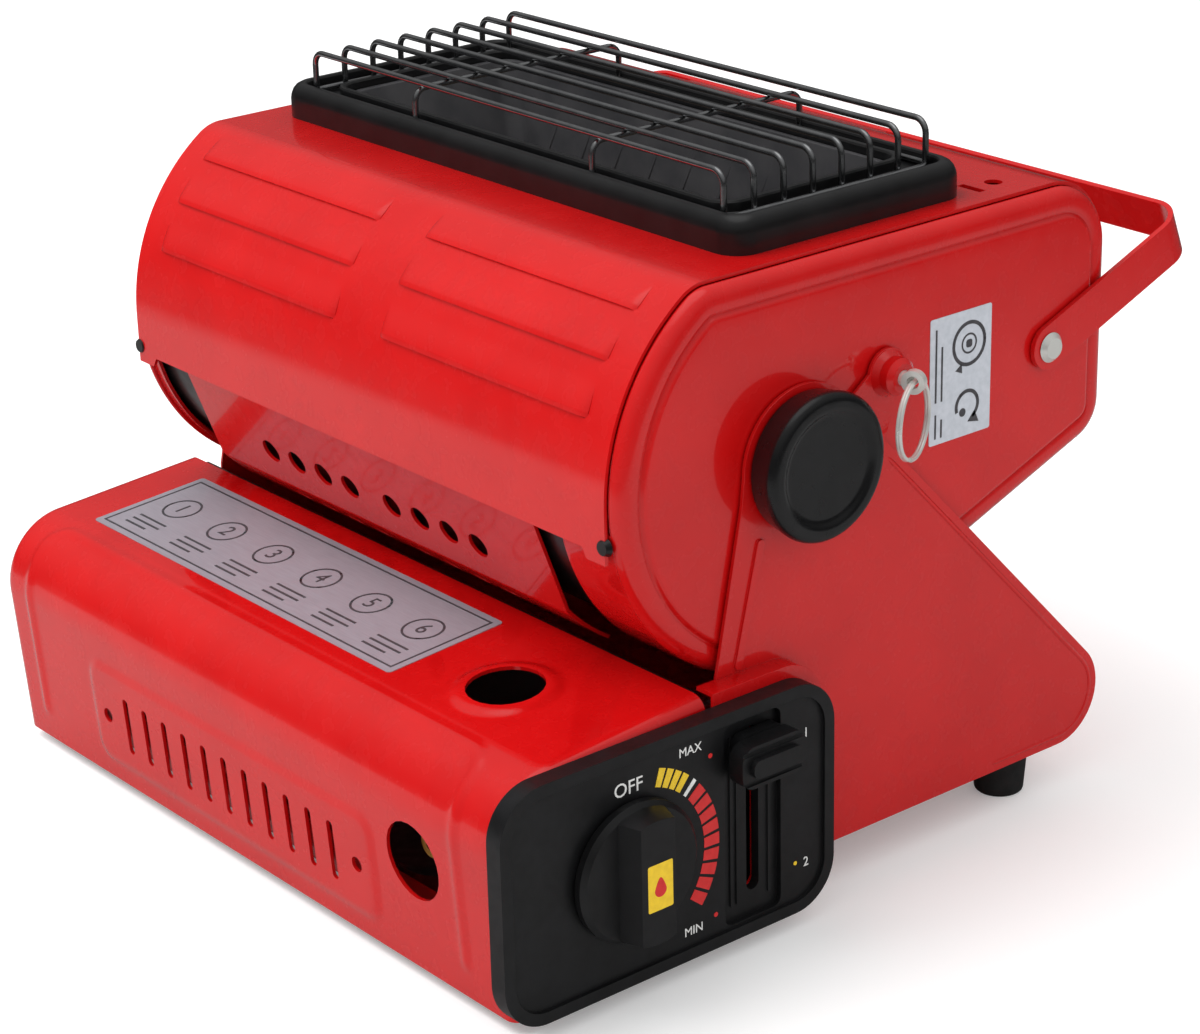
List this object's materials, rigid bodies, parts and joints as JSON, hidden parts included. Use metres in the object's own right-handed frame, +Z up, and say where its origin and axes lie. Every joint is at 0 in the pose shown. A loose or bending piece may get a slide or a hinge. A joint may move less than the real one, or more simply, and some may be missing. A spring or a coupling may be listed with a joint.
{
  "type": "portable gas heater",
  "caption": "Portable cassette gas heater with a tilting louvred head, wire-guarded burner, strap handle, clamp knobs, hinged cartridge lid and side control panel.",
  "frame": {"origin": "centre of the footprint at floor level", "axes": "+Z up, +Y to the rear (handle side), -Y to the cartridge lid, +X to the control panel"},
  "size_m": [0.3068, 0.308, 0.2358],
  "materials": {
    "red_paint": "glossy red powder coat on sheet steel",
    "black_enamel": "black stove enamel on sheet steel",
    "zinc_steel": "zinc-plated steel",
    "brass": "machined brass",
    "chrome_wire": "bright plated steel wire",
    "ceramic": "fired ceramic, stood in for by matte plastic",
    "rubber": "black rubber",
    "black_plastic": "moulded black heat-proof plastic"
  },
  "bodies": {
    "base": {"base_tray": "red_paint", "side_plate_right": "red_paint", "side_plate_left": "red_paint", "rear_panel": "red_paint", "heat_shield": "black_enamel", "cartridge_cradle": "zinc_steel", "regulator": "zinc_steel", "hose_inlet": "brass", "gas_valve": "brass", "gas_pipe": "brass", "piezo_igniter": "ceramic", "control_panel": "black_plastic", "rubber_feet": "rubber", "foot_screws": "zinc_steel", "lid_hinge_pins": "zinc_steel", "pin_bush": "red_paint", "pivot_washers": "zinc_steel"},
    "cartridge_lid": {"cartridge_lid": "red_paint"},
    "gas_knob": {"gas_knob": "black_plastic", "valve_stem": "zinc_steel"},
    "lock_lever": {"lock_lever": "black_plastic", "lock_slide": "zinc_steel"},
    "tilt_knob_right": {"tilt_knob_right": "black_plastic", "pivot_stud_right": "zinc_steel"},
    "tilt_knob_left": {"tilt_knob_left": "black_plastic", "pivot_stud_left": "zinc_steel"},
    "pull_pin": {"pull_pin": "chrome_wire", "pin_spring": "zinc_steel"},
    "pull_ring": {"pull_ring": "chrome_wire"},
    "head": {"hood": "red_paint", "front_shield": "red_paint", "head_side_right": "red_paint", "head_side_left": "red_paint", "rear_cover": "red_paint", "pivot_bosses": "zinc_steel", "hood_screws": "black_enamel", "burner_frame": "black_enamel", "reflector": "black_enamel", "burner_box": "zinc_steel", "ceramic_plaques": "ceramic", "mixer_tube": "zinc_steel", "injector": "brass", "ignition_electrode": "ceramic", "thermocouple": "brass", "wire_guard": "chrome_wire", "handle_rivets": "chrome_wire", "drum_liner": "black_enamel"},
    "handle": {"handle": "red_paint"}
  },
  "joints": [
    {"name": "head_tilt", "type": "hinge", "parent": "base", "child": "head", "pos_m": [-0.0064, -0.02347, 0.15], "axis": [1, 0, 0], "range_deg": [0, 90]},
    {"name": "cartridge_lid_hinge", "type": "hinge", "parent": "base", "child": "cartridge_lid", "pos_m": [-0.0064, -0.13947, 0.0094], "axis": [1, 0, 0], "range_deg": [0, 85]},
    {"name": "gas_knob_turn", "type": "hinge", "parent": "base", "child": "gas_knob", "pos_m": [0.1409, -0.10447, 0.045], "axis": [1, 0, 0], "range_deg": [0, 130]},
    {"name": "lock_lever_slide", "type": "slide", "parent": "base", "child": "lock_lever", "axis": [0, 0, -1], "range_m": [0, 0.04]},
    {"name": "tilt_knob_right_turn", "type": "hinge", "parent": "base", "child": "tilt_knob_right", "pos_m": [0.1406, -0.02347, 0.15], "axis": [1, 0, 0], "range_deg": [0, 180]},
    {"name": "tilt_knob_left_turn", "type": "hinge", "parent": "base", "child": "tilt_knob_left", "pos_m": [-0.1534, -0.02347, 0.15], "axis": [-1, 0, 0], "range_deg": [0, 180]},
    {"name": "pull_pin_slide", "type": "slide", "parent": "base", "child": "pull_pin", "axis": [1, 0, 0], "range_m": [0, 0.0024], "stiffness_N_per_m": 600, "deforming": ["pin_spring"]},
    {"name": "pull_ring_swing", "type": "hinge", "parent": "pull_pin", "child": "pull_ring", "pos_m": [0.1396, 0.01203, 0.169], "axis": [0.4226, -0.9063, 0], "range_deg": [0, 75]},
    {"name": "handle_swing", "type": "hinge", "parent": "head", "child": "handle", "pos_m": [-0.0064, 0.08423, 0.1603], "axis": [1, 0, 0], "range_deg": [-60, 68]}
  ]
}
